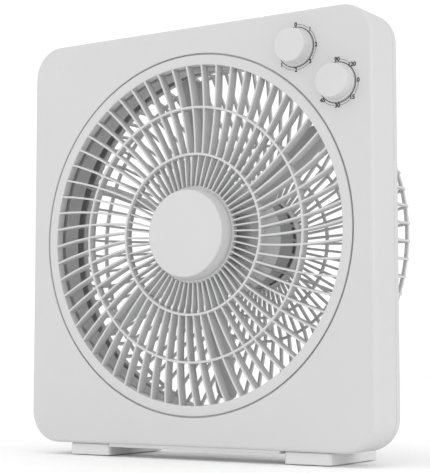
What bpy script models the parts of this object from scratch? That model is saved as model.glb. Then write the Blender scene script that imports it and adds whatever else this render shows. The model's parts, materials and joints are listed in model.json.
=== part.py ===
"""Box fan with a turning front grille, two dials, a rear basket guard and a capacitor-run motor.

The fan axis runs front to back. Depths are measured back from the flat front panel, and x and z
positions are measured from the fan axis. The part stands on four rubber pads at z = 0.
"""
import math

import bmesh
import bpy

MM = 0.001

# Overall frame
AXIS_HEIGHT = 199.0          # fan axis above the floor
KNOB_PROUD = 13.2            # how far the dials stand out of the panel
GUARD_BACK = 127.0           # depth of the rearmost face
FRONT_Y = KNOB_PROUD - (KNOB_PROUD + GUARD_BACK) / 2.0
CLEARANCE = 0.3              # gap between separate pieces

# Housing
BODY_WIDTH = 360.0
BODY_TOP = 186.7
BODY_BOTTOM = -187.6
CORNER_RADIUS = 29.0
FRONT_EDGE_RADIUS = 3.0
WALL = 2.5
PARTING_DEPTH = 40.0
BODY_DEPTH = 48.6
REAR_OPENING_RADIUS = 154.5
LIP_RADIUS = 156.5
LIP_FRONT = 44.4
LIP_BACK = 51.0
SILL_DROP = 2.6
SILL_HALF_WIDTH = 90.0

# Turning grille
PANEL_HOLE_RADIUS = 161.9
RIM_RADIUS = 160.5
RIM_INNER_RADIUS = 151.5
RIM_DEPTH = 11.0
FLANGE_RADIUS = 165.0
FLANGE_FRONT = 3.0
FLANGE_BACK = 5.0
RIM_WALL = 2.0
RING_RADII = (113.6, 71.6)
RING_THICKNESS = 2.2
VANE_COUNT = 60
VANE_THICKNESS = 1.8
RING_DEPTH = 11.0
VANE_DEPTH = 10.4
VANE_RECESS = 0.2
VANE_SWEEP = (4.2, 7.0, 9.8)   # clockwise angle of an outer vane at the rim and at each ring
RIB_SWEEP = (6.0, 4.6)         # clockwise angle of an inner rib at the inner ring and at the hub
RIB_RECESS = 2.2
GRILLE_HUB_RADIUS = 43.5
CAP_RADIUS = 41.0
CAP_FRONT_RADIUS = 38.6
CAP_PROUD = 9.6
CAP_BACK = 3.4

# Shroud around the impeller
SHROUD_FRONT = 14.0
SHROUD_BACK = 31.7
SHROUD_FLANGE_RADIUS = 170.0
GUIDE_RADIUS = 166.0
SHROUD_EAR_ANGLES = (43.0, 155.0, 222.0, 328.0)
SHROUD_EAR_RADIUS = 176.0

# Impeller and motor
IMPELLER_HUB_RADIUS = 50.0
IMPELLER_HUB_FRONT = 19.0
IMPELLER_HUB_BACK = 74.0
IMPELLER_BOSS_BACK = 40.0
BLADE_COUNT = 6
BLADE_FIRST_ANGLE = -10.0
BLADE_TIP_RADIUS = 146.0
BLADE_FRONT_DEPTHS = (20.0, 13.0)   # depth of a blade's front edge at its root and at its tip
BLADE_BACK_DEPTH = 54.0
BLADE_OFFSETS = (5.0, 9.0)          # clockwise offset of a blade's front and back edge from its radius
BLADE_THICKNESS = 2.0
SHAFT_RADIUS = 4.0
MOTOR_RADIUS = 45.5
MOTOR_FRONT = 45.0
MOTOR_BACK = 113.0
MOTOR_SPLIT = 78.0
STATOR_FRONT = 66.0
STATOR_BACK = 92.0
WINDING_LENGTH = 9.0
BEARING_LENGTH = 7.5
MOTOR_SCREW_RADIUS = 30.0
MOTOR_SCREW_COUNT = 4

# Rear guard
GUARD_RIB_COUNT = 34
GUARD_FIRST_ANGLE = 2.647
GUARD_RIB_WIDTH = 2.2
GUARD_BASE_RADII = (LIP_RADIUS + 0.6, 173.0)
GUARD_HUB_RADIUS = 44.5
GUARD_PLATE_THICKNESS = 3.0
GUARD_RING_RADII = (94.2, 71.6)
GUARD_RING_DEPTHS = (121.2, 124.6)

# Dials: x, z of each one
SPEED_DIAL = (108.3, 154.8)
TIMER_DIAL = (147.8, 120.1)
KNOB_BASE_RADIUS = 16.6
KNOB_FRONT_RADIUS = 14.5
KNOB_SHAFT_RADIUS = 3.0

# Grille drive
ROLLER_RADIUS = 14.0
ROLLER_DISTANCE = FLANGE_RADIUS + CLEARANCE + ROLLER_RADIUS
DRIVE_ANGLE = 135.0
DRIVE_MOTOR_DISTANCE = 191.0
DRIVE_MOTOR_RADIUS = 20.0

# Electrics: corners as (x, depth, z), positions as (x, z)
CAPACITOR_LOW = (-158.0, 4.0, 131.0)
CAPACITOR_HIGH = (-124.0, 24.0, 147.0)
CAPACITOR_SCREW = (-141.0, 126.5)
TERMINAL_LOW = (-166.0, 6.0, -136.0)
TERMINAL_HIGH = (-134.0, 18.0, -120.0)
GLAND_POSITION = (-150.0, -118.0)
GLAND_RADIUS = 7.0

# Feet
FOOT_INNER_X = 92.0
FOOT_OUTER_X = 137.0
FOOT_FRONT = 5.0
FOOT_BACK = 90.0
FOOT_TOP = -188.0
FOOT_BOTTOM = -198.3
FOOT_CORNER_RADIUS = 3.0
PAD_RADIUS = 8.0
PAD_DEPTHS = (18.0, 77.0)
FOOT_SCREW_DEPTHS = (30.0,)

SCREW_RADIUS = 1.6
SCREW_HOLE_RADIUS = 1.9
HOUSING_SCREW_X = 152.0
HOUSING_SCREW_Z = (158.0, -159.0)

TOOL_SEAM = math.radians(6.5)   # keeps the facets of small tool shapes off their neighbours' facets
LARGE_STEPS = 60
PANEL_HOLE_STEPS = 80
MEDIUM_STEPS = 30
SMALL_STEPS = 12
HOLE_STEPS = 8
SCREW_STEPS = 8

for leftover in list(bpy.data.objects):
    bpy.data.objects.remove(leftover, do_unlink=True)

PARTS = bpy.data.collections.new("box_fan")
CUTTERS = bpy.data.collections.new("box_fan_cutters")
bpy.context.scene.collection.children.link(PARTS)
bpy.context.scene.collection.children.link(CUTTERS)


def make_material(name, colour, roughness, metallic=0.0):
    """Principled material of one colour."""
    material = bpy.data.materials.new(name)
    material.use_nodes = True
    shader = material.node_tree.nodes["Principled BSDF"]
    shader.inputs["Base Color"].default_value = (*colour, 1.0)
    shader.inputs["Roughness"].default_value = roughness
    shader.inputs["Metallic"].default_value = metallic
    return material


WHITE_PLASTIC = make_material("white_plastic", (0.72, 0.72, 0.71), 0.45)
GREY_PLASTIC = make_material("grey_plastic", (0.55, 0.55, 0.55), 0.5)
DARK_PLASTIC = make_material("dark_plastic", (0.05, 0.05, 0.055), 0.5)
STEEL = make_material("steel", (0.62, 0.62, 0.64), 0.3, 1.0)
LAMINATED_STEEL = make_material("laminated_steel", (0.35, 0.36, 0.38), 0.45, 1.0)
COPPER = make_material("copper", (0.72, 0.33, 0.16), 0.35, 1.0)
RUBBER = make_material("rubber", (0.04, 0.04, 0.04), 0.8)


def place(obj, x=0.0, depth=0.0, z=0.0):
    """Put an object's origin at a point measured from the fan axis and the front panel."""
    obj.location = (x * MM, (FRONT_Y + depth) * MM, (AXIS_HEIGHT + z) * MM)


def polar(radius, clockwise_degrees):
    """x and z of a point at an angle clockwise from the top, seen from the front."""
    angle = math.radians(clockwise_degrees)
    return radius * math.sin(angle), radius * math.cos(angle)


def add_object(name, mesh, material, is_cutter=False):
    """Link a mesh as a named sub-part, or as a hidden tool shape."""
    obj = bpy.data.objects.new(name, mesh)
    (CUTTERS if is_cutter else PARTS).objects.link(obj)
    mesh.materials.append(material)
    if is_cutter:
        obj.hide_render = True
        obj.display_type = "WIRE"
    return obj


def turned(name, material, profile, x=0.0, z=0.0, steps=MEDIUM_STEPS, upright=False, is_cutter=False):
    """Turn a profile of (radius, depth) pairs about a fore-and-aft axis, or about a vertical one.

    A profile whose ends lie on the axis is a solid, and any other profile is closed into a ring.
    """
    on_axis = profile[0][0] == 0.0 and profile[-1][0] == 0.0
    area = 0.0
    for (r0, h0), (r1, h1) in zip(profile, profile[1:] + profile[:1]):
        area += r0 * h1 - r1 * h0
    points = list(profile) if area < 0.0 else list(reversed(profile))
    mesh = bpy.data.meshes.new(name)
    edges = [(i, i + 1) for i in range(len(points) - 1)]
    if not on_axis:
        edges.append((len(points) - 1, 0))
    mesh.from_pydata([(r * MM, 0.0, h * MM) for r, h in points], edges, [])
    obj = add_object(name, mesh, material, is_cutter)
    screw = obj.modifiers.new("turn", "SCREW")
    screw.axis = "Z"
    screw.steps = steps
    screw.render_steps = steps
    screw.use_merge_vertices = True
    screw.merge_threshold = 0.00001
    screw.use_smooth_shade = False
    place(obj, x, 0.0, z)
    if not upright:
        obj.rotation_euler = (-math.pi / 2.0, 0.0, 0.0)
    return obj


def block(name, material, low, high, bevel=0.0, bevel_edges="ALL", segments=2, is_cutter=False):
    """Rectangular block between two corners given as (x, depth, z)."""
    mesh = bpy.data.meshes.new(name)
    size = [b - a for a, b in zip(low, high)]
    bm = bmesh.new()
    bmesh.ops.create_cube(bm, size=1.0)
    bmesh.ops.scale(bm, vec=[s * MM for s in size], verts=bm.verts)
    if bevel > 0.0:
        edges = bm.edges[:]
        if bevel_edges == "VERTICAL":
            edges = [e for e in edges if abs(e.verts[0].co.z - e.verts[1].co.z) > 1e-6]
        bmesh.ops.bevel(bm, geom=edges, offset=bevel * MM, segments=segments, profile=0.5, affect="EDGES")
    bm.to_mesh(mesh)
    bm.free()
    obj = add_object(name, mesh, material, is_cutter)
    place(obj, *[(a + b) / 2.0 for a, b in zip(low, high)])
    return obj


def apply_boolean(target, tool, operation):
    """Join a tool shape to a piece, or cut it away."""
    modifier = target.modifiers.new(tool.name, "BOOLEAN")
    modifier.operation = operation
    modifier.solver = "EXACT"
    modifier.object = tool


def fuse(target, tool):
    apply_boolean(target, tool, "UNION")


def cut(target, tool):
    apply_boolean(target, tool, "DIFFERENCE")


def rod(name, radius, front, back, x=0.0, z=0.0, steps=SMALL_STEPS, seam=TOOL_SEAM):
    """Plain cylindrical tool shape along the depth, its first facet edge turned by `seam`."""
    profile = [(0.0, front), (radius, front), (radius, back), (0.0, back)]
    obj = turned(name, GREY_PLASTIC, profile, x, z, steps, is_cutter=True)
    obj.rotation_euler.rotate_axis("Z", seam)
    return obj


def tube(name, inner, outer, front, back, x=0.0, z=0.0, steps=SMALL_STEPS, seam=0.0):
    """Hollow cylindrical tool shape along the depth, its first facet edge turned by `seam`."""
    profile = [(inner, front), (outer, front), (outer, back), (inner, back)]
    obj = turned(name, GREY_PLASTIC, profile, x, z, steps, is_cutter=True)
    obj.rotation_euler.rotate_axis("Z", seam)
    return obj


def vertical_rod(name, radius, x, depth, bottom, top):
    """Plain cylindrical tool shape along z."""
    profile = [(0.0, top), (radius, top), (radius, bottom), (0.0, bottom)]
    obj = turned(name, GREY_PLASTIC, profile, steps=SMALL_STEPS, upright=True, is_cutter=True)
    place(obj, x, depth, 0.0)
    return obj


def screw_profile(shank_radius, tip, seat, head_radius, head_height, outward):
    """Pan-head screw: the head sits on `seat` and the shank ends at `tip`."""
    top = seat + outward * head_height
    return [
        (0.0, top),
        (head_radius * 0.85, top),
        (head_radius, seat),
        (shank_radius, seat),
        (shank_radius, tip),
        (0.0, tip),
    ]


def collect(bm_parts, name):
    """One mesh out of a bmesh, which is freed."""
    mesh = bpy.data.meshes.new(name)
    bm_parts.to_mesh(mesh)
    bm_parts.free()
    return mesh


def add_bar(bm, start, end, thickness, front, back):
    """Straight bar between two (x, z) points, standing across the panel from front to back depth."""
    (x0, z0), (x1, z1) = start, end
    length = math.hypot(x1 - x0, z1 - z0)
    made = bmesh.ops.create_cube(bm, size=1.0)["verts"]
    bmesh.ops.scale(bm, vec=(length * MM, (back - front) * MM, thickness * MM), verts=made)
    turn = math.atan2(z1 - z0, x1 - x0)
    cos_turn = math.cos(turn)
    sin_turn = math.sin(turn)
    for vert in made:
        x, y, z = vert.co
        vert.co = (
            x * cos_turn - z * sin_turn + (x0 + x1) / 2.0 * MM,
            y + (front + back) / 2.0 * MM,
            x * sin_turn + z * cos_turn + (z0 + z1) / 2.0 * MM,
        )


def open_box(name, material, front, back, bottom, top, edge_radius):
    """Rounded housing half: a thin-walled tray open at the back."""
    mesh = bpy.data.meshes.new(name)
    bm = bmesh.new()
    bmesh.ops.create_cube(bm, size=1.0)
    bmesh.ops.scale(bm, vec=(BODY_WIDTH * MM, (back - front) * MM, (top - bottom) * MM), verts=bm.verts)
    half_depth = (back - front) / 2.0 * MM
    long_edges = [e for e in bm.edges if abs(e.verts[0].co.y - e.verts[1].co.y) > 1e-6]
    bmesh.ops.bevel(bm, geom=long_edges, offset=CORNER_RADIUS * MM, segments=6, profile=0.5, affect="EDGES")
    if edge_radius > 0.0:
        front_edges = [e for e in bm.edges if all(v.co.y < 1e-6 - half_depth for v in e.verts)]
        bmesh.ops.bevel(
            bm, geom=front_edges, offset=edge_radius * MM, segments=2, profile=0.5, affect="EDGES",
        )
    open_faces = [f for f in bm.faces if all(v.co.y > half_depth - 1e-6 for v in f.verts)]
    bmesh.ops.delete(bm, geom=open_faces, context="FACES_ONLY")
    bm.to_mesh(mesh)
    bm.free()
    obj = add_object(name, mesh, material)
    solidify = obj.modifiers.new("wall", "SOLIDIFY")
    solidify.thickness = WALL * MM
    solidify.offset = -1.0
    solidify.use_even_offset = True
    place(obj, 0.0, (front + back) / 2.0, (top + bottom) / 2.0)
    return obj


def build_front_shell():
    """Front half of the housing: the panel, its side walls, the sill and the screw bosses."""
    shell = open_box(
        "front_shell", WHITE_PLASTIC, 0.0, PARTING_DEPTH, BODY_BOTTOM, BODY_TOP, FRONT_EDGE_RADIUS,
    )
    sill = block(
        "sill",
        WHITE_PLASTIC,
        (-SILL_HALF_WIDTH, 1.2, BODY_BOTTOM - SILL_DROP),
        (SILL_HALF_WIDTH, PARTING_DEPTH - 0.4, BODY_BOTTOM + 1.0),
        is_cutter=True,
    )
    fuse(shell, sill)
    cut(shell, rod("panel_hole", PANEL_HOLE_RADIUS, -5.0, 8.0, steps=PANEL_HOLE_STEPS))
    for side in (-1.0, 1.0):
        for z in HOUSING_SCREW_Z:
            boss_name = f"housing_boss_{'l' if side < 0 else 'r'}{'t' if z > 0 else 'b'}"
            x = side * HOUSING_SCREW_X
            fuse(shell, tube(boss_name, SCREW_HOLE_RADIUS, 4.5, 1.2, PARTING_DEPTH - 0.5, x, z, HOLE_STEPS))
    for index, angle in enumerate(SHROUD_EAR_ANGLES):
        x, z = polar(SHROUD_EAR_RADIUS, angle)
        name = f"shroud_boss_{index}"
        fuse(shell, tube(name, SCREW_HOLE_RADIUS, 4.0, 1.2, SHROUD_FRONT + CLEARANCE, x, z, HOLE_STEPS))
    for index, (x, z) in enumerate(drive_ear_positions()):
        fuse(shell, tube(f"drive_boss_{index}", 1.4, 3.2, 1.2, 10.5, x, z, HOLE_STEPS))
    fuse(shell, tube("capacitor_boss", 1.4, 3.2, 1.2, 4.3, *CAPACITOR_SCREW, HOLE_STEPS))
    for name, (x, z) in (("speed_hole", SPEED_DIAL), ("timer_hole", TIMER_DIAL)):
        cut(shell, rod(name, 5.0, -5.0, 6.0, x, z))
    for side in (-1.0, 1.0):
        for depth in FOOT_SCREW_DEPTHS:
            x = side * (FOOT_INNER_X + FOOT_OUTER_X) / 2.0
            name = f"shell_foot_hole_{int(side)}"
            cut(shell, vertical_rod(name, 2.0, x, depth, BODY_BOTTOM - 3.0, BODY_BOTTOM + 6.0))
    return shell


def build_rear_shell():
    """Rear half of the housing: side walls, the back plate and the rim of the rear opening."""
    front = PARTING_DEPTH + CLEARANCE
    shell = open_box("rear_shell", WHITE_PLASTIC, -BODY_DEPTH, -front, BODY_BOTTOM, BODY_TOP, 2.0)
    shell.rotation_euler = (0.0, 0.0, math.pi)
    place(shell, 0.0, (BODY_DEPTH + PARTING_DEPTH + CLEARANCE) / 2.0, (BODY_TOP + BODY_BOTTOM) / 2.0)
    cut(shell, rod("rear_opening", REAR_OPENING_RADIUS, 38.0, 56.0, steps=LARGE_STEPS))
    lip = tube("rear_lip", REAR_OPENING_RADIUS - 0.5, LIP_RADIUS, LIP_FRONT, LIP_BACK, steps=LARGE_STEPS)
    fuse(shell, lip)
    for side in (-1.0, 1.0):
        for z in HOUSING_SCREW_Z:
            hole_name = f"housing_hole_{'l' if side < 0 else 'r'}{'t' if z > 0 else 'b'}"
            cut(shell, rod(hole_name, SCREW_HOLE_RADIUS, 38.0, 56.0, side * HOUSING_SCREW_X, z, HOLE_STEPS))
    cut(shell, rod("gland_hole", GLAND_RADIUS + CLEARANCE, 38.0, 56.0, *GLAND_POSITION))
    return shell


def build_shroud():
    """Ring behind the grille: it guides the grille's flange and ducts the air past the impeller."""
    profile = [
        (RIM_INNER_RADIUS, SHROUD_FRONT),
        (GUIDE_RADIUS, SHROUD_FRONT),
        (GUIDE_RADIUS, FLANGE_FRONT + 0.2),
        (GUIDE_RADIUS + 2.0, FLANGE_FRONT + 0.2),
        (GUIDE_RADIUS + 2.0, SHROUD_FRONT),
        (SHROUD_FLANGE_RADIUS, SHROUD_FRONT),
        (SHROUD_FLANGE_RADIUS, SHROUD_FRONT + 2.2),
        (RIM_INNER_RADIUS + 2.0, SHROUD_FRONT + 2.2),
        (RIM_INNER_RADIUS + 2.0, SHROUD_BACK),
        (RIM_INNER_RADIUS, SHROUD_BACK),
    ]
    shroud = turned("shroud", WHITE_PLASTIC, profile, steps=LARGE_STEPS)
    for index, angle in enumerate(SHROUD_EAR_ANGLES):
        x, z = polar(SHROUD_EAR_RADIUS, angle)
        name = f"shroud_ear_{index}"
        front = SHROUD_FRONT + 0.7
        fuse(shroud, tube(name, SCREW_HOLE_RADIUS, 7.0, front, front + 2.5, x, z, HOLE_STEPS))
    x, z = polar(ROLLER_DISTANCE, DRIVE_ANGLE)
    cut(shroud, rod("roller_window", ROLLER_RADIUS + 1.0, 1.0, 9.0, x, z, MEDIUM_STEPS))
    return shroud


def build_grille():
    """Turning grille: channel rim with a guide flange, two rings, swept vanes and a hub plate."""
    rim_profile = [
        (RIM_INNER_RADIUS, 0.0),
        (RIM_RADIUS, 0.0),
        (RIM_RADIUS, FLANGE_FRONT),
        (FLANGE_RADIUS, FLANGE_FRONT),
        (FLANGE_RADIUS, FLANGE_BACK),
        (RIM_RADIUS - RIM_WALL, FLANGE_BACK),
        (RIM_RADIUS - RIM_WALL, RIM_WALL),
        (RIM_INNER_RADIUS + RIM_WALL, RIM_WALL),
        (RIM_INNER_RADIUS + RIM_WALL, RIM_DEPTH),
        (RIM_INNER_RADIUS, RIM_DEPTH),
    ]
    grille = turned("grille", WHITE_PLASTIC, rim_profile, steps=VANE_COUNT)
    grille.rotation_euler.rotate_axis("Z", math.radians(VANE_SWEEP[0]))
    for index, radius in enumerate(RING_RADII):
        half = RING_THICKNESS / 2.0
        seam = math.radians(VANE_SWEEP[index + 1])
        name = f"grille_ring_{index}"
        fuse(grille, tube(name, radius - half, radius + half, 0.0, RING_DEPTH, steps=VANE_COUNT, seam=seam))
    seam = math.radians(RIB_SWEEP[1])
    hub = rod("grille_hub", GRILLE_HUB_RADIUS, CAP_BACK + CLEARANCE, RING_DEPTH, steps=VANE_COUNT, seam=seam)
    fuse(grille, hub)
    bm = bmesh.new()
    zones = (
        (RIM_INNER_RADIUS + 1.0, VANE_SWEEP[0], RING_RADII[0] + 0.3, VANE_SWEEP[1], VANE_RECESS),
        (RING_RADII[0] - 0.3, VANE_SWEEP[1], RING_RADII[1] + 0.3, VANE_SWEEP[2], VANE_RECESS),
        (RING_RADII[1] - 0.3, RIB_SWEEP[0], GRILLE_HUB_RADIUS - 1.0, RIB_SWEEP[1], RIB_RECESS),
    )
    for outer, outer_angle, inner, inner_angle, recess in zones:
        thickness = VANE_THICKNESS if recess == VANE_RECESS else VANE_THICKNESS * 0.8
        for index in range(VANE_COUNT):
            turn = index * 360.0 / VANE_COUNT
            start = polar(outer, outer_angle + turn)
            end = polar(inner, inner_angle + turn)
            add_bar(bm, start, end, thickness, recess, VANE_DEPTH)
    vanes = add_object("grille_vanes", collect(bm, "grille_vanes"), WHITE_PLASTIC, is_cutter=True)
    place(vanes)
    fuse(grille, vanes)
    return grille


def build_hub_cap():
    """Plain round cap over the middle of the grille."""
    profile = [
        (0.0, -CAP_PROUD),
        (CAP_FRONT_RADIUS - 1.5, -CAP_PROUD),
        (CAP_FRONT_RADIUS, -CAP_PROUD + 1.5),
        (CAP_RADIUS, -0.5),
        (CAP_RADIUS, CAP_BACK),
        (CAP_RADIUS - 2.0, CAP_BACK),
        (CAP_FRONT_RADIUS - 2.4, -CAP_PROUD + 2.4),
        (0.0, -CAP_PROUD + 2.0),
    ]
    return turned("hub_cap", WHITE_PLASTIC, profile, steps=48)


def build_impeller():
    """Cup hub over the motor with six steeply set blades."""
    profile = [
        (SHAFT_RADIUS + CLEARANCE, IMPELLER_HUB_FRONT),
        (IMPELLER_HUB_RADIUS - 2.5, IMPELLER_HUB_FRONT),
        (IMPELLER_HUB_RADIUS, IMPELLER_HUB_FRONT + 2.5),
        (IMPELLER_HUB_RADIUS, IMPELLER_HUB_BACK),
        (IMPELLER_HUB_RADIUS - 2.2, IMPELLER_HUB_BACK),
        (IMPELLER_HUB_RADIUS - 2.2, IMPELLER_HUB_FRONT + 2.4),
        (10.0, IMPELLER_HUB_FRONT + 2.4),
        (10.0, IMPELLER_BOSS_BACK),
        (SHAFT_RADIUS + CLEARANCE, IMPELLER_BOSS_BACK),
    ]
    impeller = turned("impeller", GREY_PLASTIC, profile, steps=MEDIUM_STEPS)
    root_radius = IMPELLER_HUB_RADIUS - 1.2
    mesh = bpy.data.meshes.new("blades")
    bm = bmesh.new()
    for index in range(BLADE_COUNT):
        turn = math.radians(BLADE_FIRST_ANGLE + index * 360.0 / BLADE_COUNT)
        made = bmesh.ops.create_cube(bm, size=1.0)["verts"]
        for vert in made:
            is_tip = vert.co.z > 0.0
            is_back = vert.co.y > 0.0
            x = BLADE_OFFSETS[is_back] + vert.co.x * BLADE_THICKNESS
            z = BLADE_TIP_RADIUS if is_tip else root_radius
            vert.co = (
                (x * math.cos(turn) + z * math.sin(turn)) * MM,
                (BLADE_BACK_DEPTH if is_back else BLADE_FRONT_DEPTHS[is_tip]) * MM,
                (z * math.cos(turn) - x * math.sin(turn)) * MM,
            )
    bm.to_mesh(mesh)
    bm.free()
    blades = add_object("blades", mesh, GREY_PLASTIC, is_cutter=True)
    place(blades)
    fuse(impeller, blades)
    return impeller


def build_motor():
    """Shaft, nut, rotor, stator, windings, bearings and the two bells of the fan motor."""
    running = SHAFT_RADIUS + CLEARANCE
    turned("motor_shaft", STEEL, [
        (0.0, 15.0),
        (SHAFT_RADIUS - 0.6, 15.0),
        (SHAFT_RADIUS, 15.6),
        (SHAFT_RADIUS, MOTOR_BACK + 0.5),
        (0.0, MOTOR_BACK + 0.5),
    ], steps=SMALL_STEPS)
    turned("shaft_nut", GREY_PLASTIC, [
        (0.0, 12.4),
        (6.5, 12.4),
        (9.0, 14.0),
        (9.0, 18.7),
        (running, 18.7),
        (running, 14.7),
        (0.0, 14.7),
    ], steps=SMALL_STEPS)
    turned("rotor", LAMINATED_STEEL, [
        (running, STATOR_FRONT - 1.0),
        (26.7, STATOR_FRONT - 1.0),
        (26.7, STATOR_BACK + 1.0),
        (running, STATOR_BACK + 1.0),
    ])
    turned("stator", LAMINATED_STEEL, [
        (27.3, STATOR_FRONT),
        (42.8, STATOR_FRONT),
        (42.8, STATOR_BACK),
        (27.3, STATOR_BACK),
    ])
    for name, front in (
        ("winding_front", STATOR_FRONT - CLEARANCE - WINDING_LENGTH),
        ("winding_rear", STATOR_BACK + CLEARANCE),
    ):
        back = front + WINDING_LENGTH
        turned(name, COPPER, [
            (30.0, front + 2.0),
            (35.0, front),
            (40.0, front + 2.0),
            (40.0, back - 2.0),
            (35.0, back),
            (30.0, back - 2.0),
        ], steps=20)
    for name, front in (("bearing_front", MOTOR_FRONT), ("bearing_rear", MOTOR_BACK - BEARING_LENGTH)):
        back = front + BEARING_LENGTH
        profile = [(running, front), (8.0, front), (8.0, back), (running, back)]
        turned(name, STEEL, profile, steps=SMALL_STEPS)
    turned("motor_bell_front", GREY_PLASTIC, [
        (8.3, MOTOR_FRONT),
        (MOTOR_RADIUS - 3.0, MOTOR_FRONT),
        (MOTOR_RADIUS, MOTOR_FRONT + 3.0),
        (MOTOR_RADIUS, MOTOR_SPLIT),
        (MOTOR_RADIUS - 2.2, MOTOR_SPLIT),
        (MOTOR_RADIUS - 2.2, MOTOR_FRONT + 2.2),
        (11.0, MOTOR_FRONT + 2.2),
        (11.0, MOTOR_FRONT + 6.5),
        (8.3, MOTOR_FRONT + 6.5),
    ])
    rear = turned("motor_bell_rear", GREY_PLASTIC, [
        (8.3, MOTOR_BACK - 6.5),
        (11.0, MOTOR_BACK - 6.5),
        (11.0, MOTOR_BACK - 3.0),
        (MOTOR_RADIUS - 2.2, MOTOR_BACK - 3.0),
        (MOTOR_RADIUS - 2.2, MOTOR_SPLIT + CLEARANCE),
        (MOTOR_RADIUS, MOTOR_SPLIT + CLEARANCE),
        (MOTOR_RADIUS, MOTOR_BACK - 3.0),
        (MOTOR_RADIUS - 3.0, MOTOR_BACK),
        (8.3, MOTOR_BACK),
    ])
    seat = MOTOR_BACK + 0.4 + GUARD_PLATE_THICKNESS + CLEARANCE
    for index in range(MOTOR_SCREW_COUNT):
        x, z = polar(MOTOR_SCREW_RADIUS, 45.0 + index * 360.0 / MOTOR_SCREW_COUNT)
        name = f"motor_hole_{index}"
        cut(rear, rod(name, SCREW_HOLE_RADIUS, MOTOR_BACK - 6.0, MOTOR_BACK + 3.0, x, z, HOLE_STEPS))
        profile = screw_profile(SCREW_RADIUS, MOTOR_BACK - 3.5, seat, 3.2, 2.0, 1.0)
        turned(f"motor_screw_{index + 1}", STEEL, profile, x, z, SCREW_STEPS)


def build_rear_guard():
    """Basket guard: base ring, bent ribs, tie rings and the plate that carries the motor."""
    inner_base, outer_base = GUARD_BASE_RADII
    base_profile = [
        (inner_base, BODY_DEPTH + CLEARANCE),
        (outer_base, BODY_DEPTH + CLEARANCE),
        (outer_base, BODY_DEPTH + 2.6),
        (inner_base, BODY_DEPTH + 2.6),
    ]
    guard = turned("rear_guard", WHITE_PLASTIC, base_profile, steps=2 * GUARD_RIB_COUNT)
    plate_front = MOTOR_BACK + 0.4
    plate_back = plate_front + GUARD_PLATE_THICKNESS
    hub_profile = [
        (SHAFT_RADIUS + 4.0, plate_front),
        (GUARD_HUB_RADIUS, plate_front),
        (GUARD_HUB_RADIUS, GUARD_BACK - 0.3),
        (GUARD_HUB_RADIUS - 2.5, GUARD_BACK - 0.3),
        (GUARD_HUB_RADIUS - 2.5, plate_back),
        (SHAFT_RADIUS + 4.0, plate_back),
    ]
    fuse(guard, turned("guard_hub", WHITE_PLASTIC, hub_profile, steps=GUARD_RIB_COUNT, is_cutter=True))
    corner = tube("guard_corner_ring", 164.2, 167.4, 93.8, 97.0, steps=GUARD_RIB_COUNT)
    fuse(guard, corner)
    for index, radius in enumerate(GUARD_RING_RADII):
        name = f"guard_ring_{index}"
        fuse(guard, tube(name, radius - 1.3, radius + 1.3, *GUARD_RING_DEPTHS, steps=GUARD_RIB_COUNT))
    outline = [
        (171.5, BODY_DEPTH + 1.0),
        (171.2, 91.0),
        (168.8, 97.2),
        (95.0, 125.4),
        (GUARD_HUB_RADIUS - 1.0, GUARD_BACK - 0.6),
        (GUARD_HUB_RADIUS - 1.0, 121.6),
        (94.0, 120.4),
        (165.4, 92.2),
        (166.8, BODY_DEPTH + 1.0),
    ]
    bm = bmesh.new()
    half = GUARD_RIB_WIDTH / 2.0
    for index in range(GUARD_RIB_COUNT):
        turn = math.radians(GUARD_FIRST_ANGLE) + index * math.tau / GUARD_RIB_COUNT
        across_x = math.cos(turn)
        across_z = -math.sin(turn)
        corners = []
        for radius, depth in outline:
            x = radius * math.sin(turn) - half * across_x
            z = radius * math.cos(turn) - half * across_z
            corners.append(bm.verts.new((x * MM, depth * MM, z * MM)))
        side_face = bm.faces.new(corners)
        grown = bmesh.ops.extrude_face_region(bm, geom=[side_face], use_keep_orig=True)["geom"]
        far_side = [item for item in grown if isinstance(item, bmesh.types.BMVert)]
        shift = (GUARD_RIB_WIDTH * across_x * MM, 0.0, GUARD_RIB_WIDTH * across_z * MM)
        bmesh.ops.translate(bm, vec=shift, verts=far_side)
    bmesh.ops.recalc_face_normals(bm, faces=bm.faces)
    ribs = add_object("guard_ribs", collect(bm, "guard_ribs"), WHITE_PLASTIC, is_cutter=True)
    place(ribs)
    fuse(guard, ribs)
    for index in range(MOTOR_SCREW_COUNT):
        x, z = polar(MOTOR_SCREW_RADIUS, 45.0 + index * 360.0 / MOTOR_SCREW_COUNT)
        name = f"guard_motor_hole_{index}"
        cut(guard, rod(name, SCREW_HOLE_RADIUS, plate_front - 2.0, plate_back + 2.0, x, z, HOLE_STEPS))
    cover_profile = [
        (0.0, GUARD_BACK),
        (GUARD_HUB_RADIUS - 6.5, GUARD_BACK),
        (GUARD_HUB_RADIUS - 2.9, GUARD_BACK - 2.6),
        (GUARD_HUB_RADIUS - 2.9, plate_back + 0.4),
        (GUARD_HUB_RADIUS - 5.0, plate_back + 0.4),
        (GUARD_HUB_RADIUS - 5.0, GUARD_BACK - 3.4),
        (0.0, GUARD_BACK - 3.4),
    ]
    turned("motor_cover", WHITE_PLASTIC, cover_profile, steps=MEDIUM_STEPS)
    return guard


def build_fasteners():
    """Housing, shroud, guard and drive screws, each one a separate piece."""
    seat = BODY_DEPTH + CLEARANCE
    for side, side_name in ((-1.0, "left"), (1.0, "right")):
        for z, z_name in zip(HOUSING_SCREW_Z, ("top", "bottom")):
            profile = screw_profile(SCREW_RADIUS, 30.0, seat, 3.6, 2.2, 1.0)
            name = f"housing_screw_{z_name}_{side_name}"
            turned(name, STEEL, profile, side * HOUSING_SCREW_X, z, SCREW_STEPS)
    for index, angle in enumerate(SHROUD_EAR_ANGLES):
        x, z = polar(SHROUD_EAR_RADIUS, angle)
        profile = screw_profile(SCREW_RADIUS, 5.0, SHROUD_FRONT + 3.5, 3.2, 2.0, 1.0)
        turned(f"shroud_screw_{index + 1}", STEEL, profile, x, z, SCREW_STEPS)


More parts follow.
